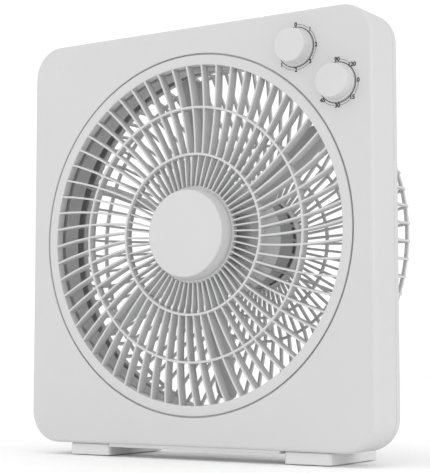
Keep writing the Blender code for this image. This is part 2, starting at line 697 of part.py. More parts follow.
def build_dial(prefix, position, body_radius, body_back):
    """One dial: its knob, its shaft and the switch or timer body behind the panel."""
    x, z = position
    bore = KNOB_SHAFT_RADIUS + CLEARANCE
    turned(f"{prefix}_knob", WHITE_PLASTIC, [
        (0.0, -KNOB_PROUD),
        (KNOB_FRONT_RADIUS - 1.2, -KNOB_PROUD),
        (KNOB_FRONT_RADIUS, -KNOB_PROUD + 1.2),
        (KNOB_BASE_RADIUS, -0.6),
        (bore, -0.6),
        (bore, -9.4),
        (0.0, -9.4),
    ], x, z, 36)
    turned(f"{prefix}_shaft", STEEL, [
        (0.0, -9.0),
        (KNOB_SHAFT_RADIUS, -9.0),
        (KNOB_SHAFT_RADIUS, 16.0),
        (0.0, 16.0),
    ], x, z, SMALL_STEPS)
    turned(f"{prefix}_body", DARK_PLASTIC, [
        (bore, 0.3),
        (4.6, 0.3),
        (4.6, 4.0),
        (body_radius, 4.0),
        (body_radius, body_back),
        (0.0, body_back),
        (0.0, 16.5),
        (bore, 16.5),
    ], x, z, MEDIUM_STEPS)


def drive_ear_positions():
    """Screw positions on both sides of the grille drive motor, along its tangent."""
    centre_x, centre_z = polar(DRIVE_MOTOR_DISTANCE, DRIVE_ANGLE)
    tangent_x, tangent_z = polar(DRIVE_MOTOR_RADIUS + 5.0, DRIVE_ANGLE + 90.0)
    return (
        (centre_x + tangent_x, centre_z + tangent_z),
        (centre_x - tangent_x, centre_z - tangent_z),
    )


def build_grille_drive():
    """Small gear motor whose rubber roller turns the grille by the edge of its flange."""
    centre_x, centre_z = polar(DRIVE_MOTOR_DISTANCE, DRIVE_ANGLE)
    roller_x, roller_z = polar(ROLLER_DISTANCE, DRIVE_ANGLE)
    body = turned("drive_motor", LAMINATED_STEEL, [
        (0.0, 10.0),
        (DRIVE_MOTOR_RADIUS, 10.0),
        (DRIVE_MOTOR_RADIUS, 28.0),
        (0.0, 28.0),
    ], centre_x, centre_z, MEDIUM_STEPS)
    for index, (x, z) in enumerate(drive_ear_positions()):
        fuse(body, tube(f"drive_ear_{index}", 1.7, 6.5, 10.8, 13.0, x, z, HOLE_STEPS))
        profile = screw_profile(1.1, 4.0, 13.3, 2.8, 1.6, 1.0)
        turned(f"drive_screw_{index + 1}", STEEL, profile, x, z, SCREW_STEPS)
    cut(body, rod("drive_bore", 2.3, 9.0, 22.0, roller_x, roller_z))
    turned("drive_shaft", STEEL, [(0.0, 3.4), (2.0, 3.4), (2.0, 20.0), (0.0, 20.0)],
           roller_x, roller_z, SMALL_STEPS)
    turned("drive_roller", RUBBER, [(2.3, 2.9), (ROLLER_RADIUS, 2.9), (ROLLER_RADIUS, 6.4), (2.3, 6.4)],
           roller_x, roller_z, MEDIUM_STEPS)


def build_electrics():
    """Run capacitor, terminal block and the gland in the back plate where the mains lead enters."""
    capacitor = block("capacitor", DARK_PLASTIC, CAPACITOR_LOW, CAPACITOR_HIGH, bevel=1.0, segments=1)
    x, z = CAPACITOR_SCREW
    fuse(capacitor, tube("capacitor_ear", 1.7, 5.0, 4.6, 6.6, x, z, HOLE_STEPS))
    turned("capacitor_screw", STEEL, screw_profile(1.1, 2.8, 6.9, 2.8, 1.6, 1.0), x, z, SCREW_STEPS)
    block("terminal_block", GREY_PLASTIC, TERMINAL_LOW, TERMINAL_HIGH, bevel=0.8, segments=1)
    turned("cord_gland", DARK_PLASTIC, [
        (3.6, 43.0),
        (GLAND_RADIUS + 2.0, 43.0),
        (GLAND_RADIUS + 2.0, BODY_DEPTH - WALL - CLEARANCE),
        (GLAND_RADIUS, BODY_DEPTH - WALL - CLEARANCE),
        (GLAND_RADIUS, BODY_DEPTH + CLEARANCE),
        (GLAND_RADIUS + 2.0, BODY_DEPTH + CLEARANCE),
        (GLAND_RADIUS + 1.0, BODY_DEPTH + 2.6),
        (3.6, BODY_DEPTH + 2.6),
    ], *GLAND_POSITION, steps=16)


def build_feet():
    """Two skid feet under the housing, each with two rubber pads and a screw."""
    for side, side_name in ((-1.0, "left"), (1.0, "right")):
        inner = side * FOOT_INNER_X
        outer = side * FOOT_OUTER_X
        low = (min(inner, outer), FOOT_FRONT, FOOT_BOTTOM)
        high = (max(inner, outer), FOOT_BACK, FOOT_TOP)
        foot = block(f"foot_{side_name}", GREY_PLASTIC, low, high, FOOT_CORNER_RADIUS, "VERTICAL", 4)
        x = (inner + outer) / 2.0
        for index, depth in enumerate(PAD_DEPTHS):
            pocket = vertical_rod(f"pad_pocket_{side_name}_{index}", PAD_RADIUS + CLEARANCE, x, depth,
                                  FOOT_BOTTOM - 2.0, FOOT_BOTTOM + 1.3)
            cut(foot, pocket)
            pad = turned(f"pad_{side_name}_{'front' if index == 0 else 'rear'}", RUBBER, [
                (0.0, FOOT_BOTTOM + 1.0),
                (PAD_RADIUS, FOOT_BOTTOM + 1.0),
                (PAD_RADIUS, -AXIS_HEIGHT),
                (0.0, -AXIS_HEIGHT),
            ], steps=SMALL_STEPS, upright=True)
            place(pad, x, depth, 0.0)
        for depth in FOOT_SCREW_DEPTHS:
            low = FOOT_BOTTOM - 1.0
            name = f"foot_hole_{side_name}"
            cut(foot, vertical_rod(name, SCREW_HOLE_RADIUS, x, depth, low, FOOT_TOP + 1.0))
            cut(foot, vertical_rod(f"foot_recess_{side_name}", 4.2, x, depth, low, FOOT_BOTTOM + 4.0))
            profile = screw_profile(SCREW_RADIUS, BODY_BOTTOM + 5.0, FOOT_BOTTOM + 3.7, 3.6, 2.2, -1.0)
            screw = turned(f"foot_screw_{side_name}", STEEL, profile, steps=SCREW_STEPS, upright=True)
            place(screw, x, depth, 0.0)


build_front_shell()
build_rear_shell()
build_shroud()
build_grille()
build_hub_cap()
build_impeller()
build_motor()
build_rear_guard()
build_dial("speed", SPEED_DIAL, 15.5, 24.0)
build_dial("timer", TIMER_DIAL, 18.0, 34.0)
build_grille_drive()
build_electrics()
build_feet()
build_fasteners()
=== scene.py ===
import json
import math

import bmesh
import bpy
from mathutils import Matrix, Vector


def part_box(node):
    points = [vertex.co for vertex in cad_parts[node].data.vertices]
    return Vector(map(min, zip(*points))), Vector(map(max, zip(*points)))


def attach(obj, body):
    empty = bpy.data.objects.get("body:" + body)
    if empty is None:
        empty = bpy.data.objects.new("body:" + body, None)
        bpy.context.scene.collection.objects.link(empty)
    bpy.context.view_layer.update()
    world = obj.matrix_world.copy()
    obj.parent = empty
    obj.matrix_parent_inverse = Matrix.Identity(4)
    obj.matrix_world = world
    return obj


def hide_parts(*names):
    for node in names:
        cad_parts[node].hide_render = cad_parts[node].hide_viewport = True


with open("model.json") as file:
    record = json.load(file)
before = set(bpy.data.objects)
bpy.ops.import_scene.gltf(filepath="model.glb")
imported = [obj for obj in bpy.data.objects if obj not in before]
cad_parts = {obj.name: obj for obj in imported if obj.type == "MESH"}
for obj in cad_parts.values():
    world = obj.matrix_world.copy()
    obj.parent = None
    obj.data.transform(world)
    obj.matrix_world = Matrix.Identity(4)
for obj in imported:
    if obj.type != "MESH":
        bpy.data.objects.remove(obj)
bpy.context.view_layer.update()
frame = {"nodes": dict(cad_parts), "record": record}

MM = 0.001

# Where the CAD says things are
SHROUD_LOW, SHROUD_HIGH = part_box("shroud")
PANEL_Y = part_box("front_shell")[0].y
AXIS_Z = (SHROUD_LOW.z + SHROUD_HIGH.z) / 2.0

# Housing
HALF_WIDTH = 180.0
BODY_TOP = 186.7
BODY_BOTTOM = -187.6
CORNER_RADIUS = 29.0
WALL = 2.5
PARTING_FRONT = 40.0
PARTING_REAR = 40.3
BACK_PLATE = 48.6
REAR_OPENING_RADIUS = 154.0
LIP_RADIUS = 156.5
LIP_FRONT = 44.4
LIP_BACK = 51.0
PANEL_EDGE_RADIUS = 0.8    # round the hole in the panel
FRONT_EDGE_RADIUS = 3.0
BACK_EDGE_RADIUS = 2.5
FLAT_INSET = 6.0           # where the flat faces begin, in from the sides
PARTING_BEVEL = 0.7
INNER_CORNER = 1.2         # bevel inside, between a wall and a face
SILL_HALF_WIDTH = 90.0
SILL_FRONT = 1.4
SILL_BACK = 39.4
SILL_DROP = 2.6
SILL_OVERLAP = 0.6

# Grille
PANEL_HOLE_RADIUS = 161.9
RIM_RADIUS = 160.5
RIM_INNER_RADIUS = 151.5
RIM_DEPTH = 8.6
RING_RADII = (113.6, 71.6)
RING_THICKNESS = 2.2
VANE_COUNT = 60
VANE_THICKNESS = 1.8
RING_DEPTH = 8.6
VANE_BACK = 10.4
VANE_FRONT = 0.2
VANE_SWEEP = ((151.5, 4.2), (113.6, 7.0), (71.6, 9.8))
RIB_SWEEP = ((71.6, 6.0), (43.5, 4.6))
RIB_FRONT = 2.2
RIB_THINNING = 0.8
FLANGE_RADIUS = 165.0
FLANGE = (3.0, 5.0)        # front and back of the rim's flange
CHANNEL_RADII = (153.5, 158.5)
CHANNEL_FRONT = 2.0
GRILLE_HUB_RADIUS = 43.5
GRILLE_HUB_FRONT = 3.7
CAP_FRONT = -9.6
CAP_BACK = 3.4
CAP_WALL = 2.0
CAP_RADII = (38.8, 40.9, 41.0)   # at its face, at the panel and at its back
CAP_BORE_RADII = (36.6, 39.0)

# Shroud
SHROUD_FRONT = 14.0
SHROUD_BACK = 31.7
SHROUD_WALL = 2.0
SHROUD_PLATE = 2.2
SHROUD_TOP = 3.3           # front edge of the wall round the grille's flange
GUIDE_RADIUS = 166.0
SHROUD_RADIUS = 170.0

# Impeller and motor
IMPELLER_HUB_RADIUS = 50.0
IMPELLER_HUB_FRONT = 19.0
IMPELLER_HUB_BACK = 74.0
IMPELLER_HUB_INNER_RADIUS = 47.8
IMPELLER_HUB_WALL = 2.4
IMPELLER_BORE_RADIUS = 4.3
IMPELLER_BOSS_RADIUS = 10.0
IMPELLER_BOSS_BACK = 40.0
BLADE_COUNT = 6
BLADE_FIRST_ANGLE = -10.0
BLADE_TIP_RADIUS = 146.0
BLADE_FRONT_DEPTHS = (20.0, 13.0)   # depth of a blade's front edge at its root and at its tip
BLADE_BACK_DEPTH = 54.0
BLADE_OFFSETS = (5.0, 9.0)          # clockwise offset of a blade's front and back edge from its radius
BLADE_THICKNESS = 2.0
BLADE_THINNING = 0.3       # share of its thickness that a blade loses towards its tip
BLADE_TIP_START = 0.9      # where a blade's tip starts to round off
BLADE_TIP_ROUNDING = 7.0
MOTOR_RADIUS = 44.7
MOTOR_SEAM_RADIUS = 45.5
MOTOR_FRONT = 45.0
MOTOR_BACK = 113.0
MOTOR_SPLIT = 78.0
MOTOR_INNER_RADIUS = 43.3
MOTOR_SEAM_WIDTH = 1.6
MOTOR_BORE_RADIUS = 8.3
MOTOR_BOSS_RADIUS = 11.0
MOTOR_BOSS_LENGTH = 6.5
MOTOR_VENT = (105.5, 111.2)   # front and back of the band of vents
MOTOR_VENT_COUNT = 20
MOTOR_VENT_DEPTH = 1.4
MOTOR_VENT_POST = (3.0, 1.3)  # width and height of a post between two vents
MOTOR_VENT_POST_INSET = 0.75

# Rear guard
GUARD_RIB_COUNT = 68
GUARD_FIRST_ANGLE = 2.647
GUARD_RIB_WIDTH = 2.2
GUARD_RIB_HEIGHT = 4.4
GUARD_BACK = 127.0
GUARD_HUB_RADIUS = 44.5
GUARD_HUB_WALL = 2.5
GUARD_BORE_RADIUS = 8.0
GUARD_BASE_RING = (157.1, 173.0, 48.9, 51.2)   # inner and outer radius, front and back
GUARD_BEND_RING = (164.2, 167.4, 93.8, 97.0)
GUARD_RING_RADII = (94.2, 71.6)
GUARD_RING_HALF = 1.3
GUARD_RING_DEPTHS = (121.2, 124.6)
GUARD_SIDE_RADIUS = 169.1      # a rib's middle line: straight back along the side, then over the dome
GUARD_SIDE_DEPTHS = (49.6, 93.8)
GUARD_DOME_KNEE = (94.5, 122.7)
GUARD_BEND_RADIUS = 9.0
GUARD_KNEE_RADIUS = 24.0
GUARD_RIB_END = 124.1
GUARD_PLATE = (113.4, 116.4)
COVER_GAP = 0.4
COVER_WALL = 2.1
COVER_FACE = 3.4

# Dials
KNOB_FRONT = -13.2
KNOB_BACK = -0.6
KNOB_FACE_RADIUS = 14.5
KNOB_SIDE_RADIUS = 15.6
KNOB_FLANGE_RADIUS = 16.6
KNOB_FLANGE = (-2.4, -2.0)
KNOB_BORE_RADIUS = 3.3
KNOB_BORE_END = -9.4
DIAL_SCALE_RADIUS = 19.6
KNOB_SHADE_RING_RADII = (17.0, 17.7)   # painted shade: a dark ink ring round the foot of a knob, where the gap's shade falls
INK_FRONT = -0.08
INK_BACK = 0.05
ARC_WIDTH = 0.35
ARC_WIDEST_STEP = 60             # numerals further apart than this aren't joined
ARC_GAP = 2.0                    # degrees left free beside a numeral
ARC_GAP_PER_DIGIT = 3.4
LONE_LABEL = "120"               # no arc starts at this numeral
NUMERAL_SIZE = 3.6 * 1.4         # height of a numeral, and the font's size for its height
NUMERAL_EXTRUDE = 0.04
NUMERAL_WEIGHT = 0.24
SPEED_LABELS = ((0, "0"), (45, "1"), (90, "2"), (135, "3"), (180, "2"), (225, "1"))
TIMER_LABELS = (
    (0, "90"), (45, "120"), (90, "0"), (135, "15"), (180, "30"), (225, "45"),
)

# Feet
FOOT_CORNER_RADIUS = 3.0
FOOT_EDGE_RADIUS = 1.0

# Camera and lights
CAMERA_PLACE = (680.0, -1012.5, -108.8)
CAMERA_TILT = 94.993
CAMERA_TURN = 32.855
CAMERA_LENS = 105.1
LIGHTS = (   # name, place in metres, size and power
    ("key", (-0.9, -1.6, 1.6), 1.4, 2.0),
    ("side", (1.9, 0.1, 0.7), 1.2, 6.5),
    ("low", (-0.7, -1.9, 0.12), 1.0, 3.0),
)

# Brightness of the surroundings
SURROUND_AXIS = (0.0, 1.0, -0.6)   # they dim along this direction
SURROUND_FRONT = 1.12
SURROUND_BACK = 0.75
SURROUND_FADE = (-0.25, 0.45)      # where along it the dimming starts and ends
SURROUND_SEEN = 1.08               # what the camera sees of them

# Smoothness of the round pieces
LARGE_STEPS = 240
MEDIUM_STEPS = 128


def point(x, depth, z):
    """World position of a point given from the front panel and the fan axis."""
    return Vector((x * MM, PANEL_Y + depth * MM, AXIS_Z + z * MM))


def polar(radius, clockwise_degrees):
    """x and z of a point at an angle clockwise from the top, seen from the front."""
    angle = math.radians(clockwise_degrees)
    return radius * math.sin(angle), radius * math.cos(angle)


# ---------------------------------------------------------------------------------------------
# Materials
# ---------------------------------------------------------------------------------------------


class NodeMaterial:
    """A Principled material with the few procedural layers that every finish here is made of."""

    def __init__(self, name, colour, roughness, metallic=0.0, specular=0.5):
        self.material = bpy.data.materials.new(name)
        self.material.use_nodes = True
        self.nodes = self.material.node_tree.nodes
        self.links = self.material.node_tree.links
        self.shader = self.nodes["Principled BSDF"]
        self.shader.inputs["Metallic"].default_value = metallic
        self.shader.inputs["Specular IOR Level"].default_value = specular
        self.colour = colour
        self.roughness = roughness
        self.coordinates = self.nodes.new("ShaderNodeTexCoord")

    def noise(self, scale, detail=3.0, roughness=0.55, stretch=None):
        """Noise in the piece's own space, with `scale` in cells per metre."""
        texture = self.nodes.new("ShaderNodeTexNoise")
        texture.inputs["Scale"].default_value = scale
        texture.inputs["Detail"].default_value = detail
        texture.inputs["Roughness"].default_value = roughness
        source = self.coordinates.outputs["Object"]
        if stretch:
            mapping = self.nodes.new("ShaderNodeMapping")
            mapping.inputs["Scale"].default_value = stretch
            self.links.new(source, mapping.inputs["Vector"])
            source = mapping.outputs["Vector"]
        self.links.new(source, texture.inputs["Vector"])
        return texture.outputs["Fac"]

    def ramp(self, value, low, high, start=0.3, end=0.7):
        """Turn a 0 to 1 value into a colour between two colours."""
        ramp = self.nodes.new("ShaderNodeValToRGB")
        ramp.color_ramp.elements[0].position = start
        ramp.color_ramp.elements[0].color = (*low, 1.0)
        ramp.color_ramp.elements[1].position = end
        ramp.color_ramp.elements[1].color = (*high, 1.0)
        self.links.new(value, ramp.inputs["Fac"])
        return ramp.outputs["Color"]

    def spread(self, value, low, high):
        """Map a 0 to 1 value onto a range."""
        node = self.nodes.new("ShaderNodeMapRange")
        node.inputs["From Min"].default_value = 0.3
        node.inputs["From Max"].default_value = 0.7
        node.inputs["To Min"].default_value = low
        node.inputs["To Max"].default_value = high
        self.links.new(value, node.inputs["Value"])
        return node.outputs["Result"]

    def tint(self, value, amount):
        """Vary the base colour by a fraction of itself."""
        low = [channel * (1.0 - amount) for channel in self.colour]
        high = [min(1.0, channel * (1.0 + amount)) for channel in self.colour]
        self.links.new(self.ramp(value, low, high), self.shader.inputs["Base Color"])

    def gloss(self, value, amount):
        """Vary the roughness around its middle value."""
        spread = self.spread(value, self.roughness - amount, self.roughness + amount)
        self.links.new(spread, self.shader.inputs["Roughness"])

    def bumps(self, *layers):
        """Stack bump layers, each one a height value and its depth in millimetres."""
        normal = None
        for value, depth in layers:
            bump = self.nodes.new("ShaderNodeBump")
            bump.inputs["Distance"].default_value = depth * MM
            self.links.new(value, bump.inputs["Height"])
            if normal:
                self.links.new(normal, bump.inputs["Normal"])
            normal = bump.outputs["Normal"]
        self.links.new(normal, self.shader.inputs["Normal"])


def moulded_plastic(name, colour, roughness, grain=0.035, specular=0.45):
    """Injection-moulded plastic: spark-eroded grain, faint flow clouds and uneven gloss."""
    finish = NodeMaterial(name, colour, roughness, specular=specular)
    clouds = finish.noise(9.0, detail=2.0)
    fine = finish.noise(1900.0, detail=2.0, roughness=0.7)
    coarse = finish.noise(620.0, detail=3.0)
    finish.tint(clouds, 0.012)
    finish.gloss(coarse, 0.06)
    finish.bumps((fine, grain), (coarse, grain * 0.7), (finish.noise(24.0, detail=1.0), 0.05))
    return finish.material


def brushed_metal(name, colour, roughness, stretch):
    """Rolled or turned metal with fine scratches along one direction."""
    finish = NodeMaterial(name, colour, roughness, metallic=1.0)
    scratches = finish.noise(900.0, detail=4.0, stretch=stretch)
    clouds = finish.noise(60.0)
    finish.tint(clouds, 0.08)
    finish.gloss(scratches, 0.1)
    finish.bumps((scratches, 0.01))
    return finish.material


def rubber(name, colour):
    """Matte rubber with a dusty bloom and a fine pebble surface."""
    finish = NodeMaterial(name, colour, 0.78, specular=0.3)
    finish.tint(finish.noise(180.0, detail=4.0), 0.25)
    finish.gloss(finish.noise(300.0), 0.08)
    finish.bumps((finish.noise(1500.0), 0.06))
    return finish.material


def printed_ink(name, colour):
    """Thin pad-printed ink, slightly uneven in cover."""
    finish = NodeMaterial(name, colour, 0.55, specular=0.3)
    finish.tint(finish.noise(1200.0), 0.2)
    finish.gloss(finish.noise(900.0), 0.08)
    finish.bumps((finish.noise(2500.0), 0.01))
    return finish.material


HOUSING_WHITE = moulded_plastic("housing_white", (0.575, 0.575, 0.575), 0.44)
GRILLE_WHITE = moulded_plastic("grille_white", (0.575, 0.575, 0.575), 0.40, grain=0.02)
KNOB_WHITE = moulded_plastic("knob_white", (0.585, 0.585, 0.585), 0.36, grain=0.015)
GUARD_WHITE = moulded_plastic("guard_white", (0.56, 0.56, 0.56), 0.42, grain=0.02)
# Painted light: the feet get a lighter colour than the housing white, to offset the shade they stand in
# under the housing.
FOOT_PAINTED_LIGHT = moulded_plastic("foot_painted_light_grey", (0.68, 0.68, 0.68), 0.5)
FAN_GREY = moulded_plastic("fan_grey", (0.47, 0.47, 0.475), 0.36, grain=0.015)
MOTOR_GREY = moulded_plastic("motor_grey", (0.23, 0.23, 0.235), 0.45, grain=0.03)
# Dark plastic of the dark parts, also used as the painted shade ring inside the motor's vents.
DARK_PLASTIC_AND_VENT_SHADE = moulded_plastic("dark_plastic", (0.045, 0.045, 0.05), 0.5)
# Ink for the printed numerals and arcs, also used for the painted shade ring round each knob's foot.
SCALE_INK_AND_SHADE = printed_ink("scale_ink_and_painted_shade", (0.035, 0.035, 0.04))
ZINC_STEEL = brushed_metal("zinc_steel", (0.62, 0.62, 0.64), 0.32, (1.0, 0.05, 1.0))
CORE_STEEL = brushed_metal("core_steel", (0.33, 0.34, 0.36), 0.45, (0.02, 12.0, 0.02))
WINDING_COPPER = brushed_metal("winding_copper", (0.70, 0.31, 0.15), 0.38, (1.0, 1.0, 0.1))
PAD_RUBBER = rubber("pad_rubber", (0.045, 0.045, 0.045))

SLOT_MATERIALS = {
    "white_plastic": HOUSING_WHITE,
    "grey_plastic": MOTOR_GREY,
    "dark_plastic": DARK_PLASTIC_AND_VENT_SHADE,
    "steel": ZINC_STEEL,
    "laminated_steel": CORE_STEEL,
    "copper": WINDING_COPPER,
    "rubber": PAD_RUBBER,
}


def dress_cad_nodes():
    """Give every CAD node the finish of its slot."""
    for subpart in frame["record"]["subparts"]:
        node = frame["nodes"][subpart["node"]]
        node.data.materials.clear()
        node.data.materials.append(SLOT_MATERIALS[subpart["material_slot"]])


# ---------------------------------------------------------------------------------------------
# Shape helpers
# ---------------------------------------------------------------------------------------------


def finish_mesh(name, bm, material, body, replaced=(), sharp_degrees=32.0):
    """Turn a bmesh into a shaded piece that rides on a body and stands for CAD nodes."""
    bmesh.ops.recalc_face_normals(bm, faces=bm.faces)
    mesh = bpy.data.meshes.new(name)
    bm.to_mesh(mesh)
    bm.free()
    mesh.shade_smooth()
    mesh.set_sharp_from_angle(angle=math.radians(sharp_degrees))
    mesh.materials.append(material)
    piece = bpy.data.objects.new(name, mesh)
    bpy.context.scene.collection.objects.link(piece)
    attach(piece, body)
    if replaced:
        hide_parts(*replaced)
    return piece


def fillet(corners, segments=4):
    """Round the corners of a closed outline: each corner is (a, b) or (a, b, radius)."""
    count = len(corners)
    outline = []
    for index, corner in enumerate(corners):
        here = Vector(corner[:2])
        radius = corner[2] if len(corner) > 2 else 0.0
        before = Vector(corners[index - 1][:2]) - here
        after = Vector(corners[(index + 1) % count][:2]) - here
        if radius <= 0.0 or before.length < 1e-9 or after.length < 1e-9:
            outline.append(tuple(here))
            continue
        half_angle = before.angle(after) / 2.0
        reach = min(radius / math.tan(half_angle), before.length * 0.48, after.length * 0.48)
        start = here + before.normalized() * reach
        end = here + after.normalized() * reach
        for step in range(segments + 1):
            t = step / segments
            bend = start * (1.0 - t) ** 2 + here * 2.0 * t * (1.0 - t) + end * t * t
            outline.append(tuple(bend))
    return outline


def add_loops(bm, loops, closed_across=False):
    """Skin a list of vertex loops with quads, each loop closed on itself."""
    rows = [[bm.verts.new(co) for co in loop] for loop in loops]
    pairs = list(zip(rows, rows[1:]))
    if closed_across:
        pairs.append((rows[-1], rows[0]))
    for row, following in pairs:
        size = len(row)
        for i in range(size):
            j = (i + 1) % size
            bm.faces.new((row[i], row[j], following[j], following[i]))
    return rows


def add_turned(bm, profile, steps, x=0.0, z=0.0):
    """Add a shape turned about a fore-and-aft axis.

    A profile that starts and ends on the axis makes a solid, and any other one makes a ring.
    """
    on_axis = abs(profile[0][0]) < 1e-9 and abs(profile[-1][0]) < 1e-9
    ring_points = profile[1:-1] if on_axis else profile
    loops = []
    for radius, depth in ring_points:
        loop = []
        for step in range(steps):
            dx, dz = polar(radius, 360.0 * step / steps)
            loop.append(point(x + dx, depth, z + dz))
        loops.append(loop)
    rows = add_loops(bm, loops, closed_across=not on_axis)
    if on_axis:
        for row, tip in ((rows[0], profile[0]), (rows[-1], profile[-1])):
            centre = bm.verts.new(point(x, tip[1], z))
            for i in range(steps):
                bm.faces.new((row[i], row[(i + 1) % steps], centre))


def add_swept_bar(bm, path, section, closed=False):
    """Sweep a section along a path of (position, across, outward) frames and cap the ends."""
    loops = []
    for position, across, outward in path:
        loops.append([position + across * (a * MM) + outward * (b * MM) for a, b in section])
    rows = add_loops(bm, loops, closed_across=closed)
    if not closed:
        bm.faces.new(rows[0])
        bm.faces.new(rows[-1])


def rounded_section(width, height, radius, segments=3):
    """Outline of a bar's section, centred on its path."""
    a = width / 2.0
    b = height / 2.0
    return fillet([(-a, -b, radius), (a, -b, radius), (a, b, radius), (-a, b, radius)], segments)


def outline_loop(inset, depth, side_points=36, corner_points=14):
    """Rounded rectangle of the housing, moved in by `inset`."""
    radius = max(CORNER_RADIUS - inset, 0.5)
    half_x = HALF_WIDTH - CORNER_RADIUS
    top = BODY_TOP - CORNER_RADIUS
    bottom = BODY_BOTTOM + CORNER_RADIUS
    corners = ((half_x, top, 0.0), (half_x, bottom, 90.0), (-half_x, bottom, 180.0), (-half_x, top, 270.0))
    arcs = []
    for centre_x, centre_z, start in corners:
        arc = []
        for step in range(corner_points + 1):
            dx, dz = polar(radius, start + 90.0 * step / corner_points)
            arc.append((centre_x + dx, centre_z + dz))
        arcs.append(arc)
    loop = []
    for arc, following in zip(arcs, arcs[1:] + arcs[:1]):
        loop.extend(arc)
        (x0, z0), (x1, z1) = arc[-1], following[0]
        for step in range(1, side_points):
            t = step / side_points
            loop.append((x0 + (x1 - x0) * t, z0 + (z1 - z0) * t))
    return [point(x, depth, z) for x, z in loop]


def opening_loop(radius, depth):
    """Circle about the fan axis with one point for each point of the housing outline."""
    loop = []
    for position in outline_loop(0.0, 0.0):
        angle = math.atan2(position.x, position.z - AXIS_Z)
        loop.append(point(radius * math.sin(angle), depth, radius * math.cos(angle)))
    return loop


def quarter_round(radius, segments):
    """(inset, depth) steps of a rounded edge, from the face round to the side."""
    steps = []
    for step in range(segments + 1):
        angle = math.radians(90.0 * step / segments)
        steps.append((radius * (1.0 - math.sin(angle)), radius * (1.0 - math.cos(angle))))
    return steps


# ---------------------------------------------------------------------------------------------
# Housing
# ---------------------------------------------------------------------------------------------


def build_front_shell():
    """Front half of the housing as one thin wall, with soft edges round the panel and its opening."""
    bm = bmesh.new()
    loops = [opening_loop(PANEL_HOLE_RADIUS, WALL)]
    for inset, depth in reversed(quarter_round(PANEL_EDGE_RADIUS, 4)):
        loops.append(opening_loop(PANEL_HOLE_RADIUS + inset, depth))
    loops.append(opening_loop(PANEL_HOLE_RADIUS + 2.0, 0.0))
    loops.append(outline_loop(FLAT_INSET, 0.0))
    for inset, depth in quarter_round(FRONT_EDGE_RADIUS, 6):
        loops.append(outline_loop(inset, depth))
    loops.append(outline_loop(0.0, PARTING_FRONT - PARTING_BEVEL))
    loops.append(outline_loop(PARTING_BEVEL / 2.0, PARTING_FRONT - 0.15))
    loops.append(outline_loop(PARTING_BEVEL, PARTING_FRONT))
    loops.append(outline_loop(WALL, PARTING_FRONT))
    loops.append(outline_loop(WALL, 3.4))
    loops.append(outline_loop(WALL + INNER_CORNER, WALL))
    add_loops(bm, loops, closed_across=True)
    return finish_mesh("front_shell_skin", bm, HOUSING_WHITE, "housing", ["front_shell"])


def build_rear_shell():
    """Rear half of the housing: shallow side wall, back plate and the lip of the rear opening."""
    bm = bmesh.new()
    loops = [
        outline_loop(WALL, PARTING_REAR),
        outline_loop(PARTING_BEVEL, PARTING_REAR),
        outline_loop(PARTING_BEVEL / 2.0, PARTING_REAR + 0.15),
        outline_loop(0.0, PARTING_REAR + PARTING_BEVEL),
    ]
    for inset, rise in reversed(quarter_round(BACK_EDGE_RADIUS, 5)):
        loops.append(outline_loop(inset, BACK_PLATE - rise))
    loops.append(outline_loop(FLAT_INSET, BACK_PLATE))
    lip_section = (
        (LIP_RADIUS + 2.0, BACK_PLATE),
        (LIP_RADIUS, BACK_PLATE + 0.3),
        (LIP_RADIUS, LIP_BACK - 0.6),
        (LIP_RADIUS - 0.6, LIP_BACK),
        (REAR_OPENING_RADIUS + 0.5, LIP_BACK),
        (REAR_OPENING_RADIUS, LIP_BACK - 0.5),
        (REAR_OPENING_RADIUS, LIP_FRONT + 0.5),
        (REAR_OPENING_RADIUS + 0.5, LIP_FRONT),
        (LIP_RADIUS - 0.5, LIP_FRONT),
        (LIP_RADIUS, LIP_FRONT + 0.5),
        (LIP_RADIUS, BACK_PLATE - WALL - 0.5),
        (LIP_RADIUS + 0.8, BACK_PLATE - WALL),
    )
    for radius, depth in lip_section:
        loops.append(opening_loop(radius, depth))
    loops.append(outline_loop(WALL + INNER_CORNER, BACK_PLATE - WALL))
    loops.append(outline_loop(WALL, BACK_PLATE - WALL - 0.9))
    add_loops(bm, loops, closed_across=True)
    return finish_mesh("rear_shell_skin", bm, HOUSING_WHITE, "housing", ["rear_shell"])


def add_rounded_block(bm, low, high, corner_radius, edge_radius):
    """Block with upright rounded corners and a softened bottom and top edge, in (x, depth, z)."""
    outline = fillet(
        [
            (low[0], low[1], corner_radius),
            (high[0], low[1], corner_radius),
            (high[0], high[1], corner_radius),
            (low[0], high[1], corner_radius),
        ],
        segments=8,
    )
    middle_x = (low[0] + high[0]) / 2.0
    middle_depth = (low[1] + high[1]) / 2.0
    half_x = (high[0] - low[0]) / 2.0
    half_depth = (high[1] - low[1]) / 2.0
    levels = []
    for inset, rise in quarter_round(edge_radius, 4):
        levels.append((inset, low[2] + rise))
    for inset, rise in reversed(quarter_round(edge_radius, 4)):
        levels.append((inset, high[2] - rise))
    loops = []
    for inset, z in levels:
        shrink_x = 1.0 - inset / half_x
        shrink_depth = 1.0 - inset / half_depth
        loops.append([
            point(middle_x + (x - middle_x) * shrink_x, middle_depth + (d - middle_depth) * shrink_depth, z)
            for x, d in outline
        ])
    rows = add_loops(bm, loops)
    bm.faces.new(rows[0])
    bm.faces.new(rows[-1])


def build_sill():
    """Strip under the housing, between the feet."""
    bm = bmesh.new()
    low = (-SILL_HALF_WIDTH, SILL_FRONT, BODY_BOTTOM - SILL_DROP)
    high = (SILL_HALF_WIDTH, SILL_BACK, BODY_BOTTOM + SILL_OVERLAP)
    add_rounded_block(bm, low, high, 1.5, 0.7)
    return finish_mesh("sill", bm, HOUSING_WHITE, "housing")


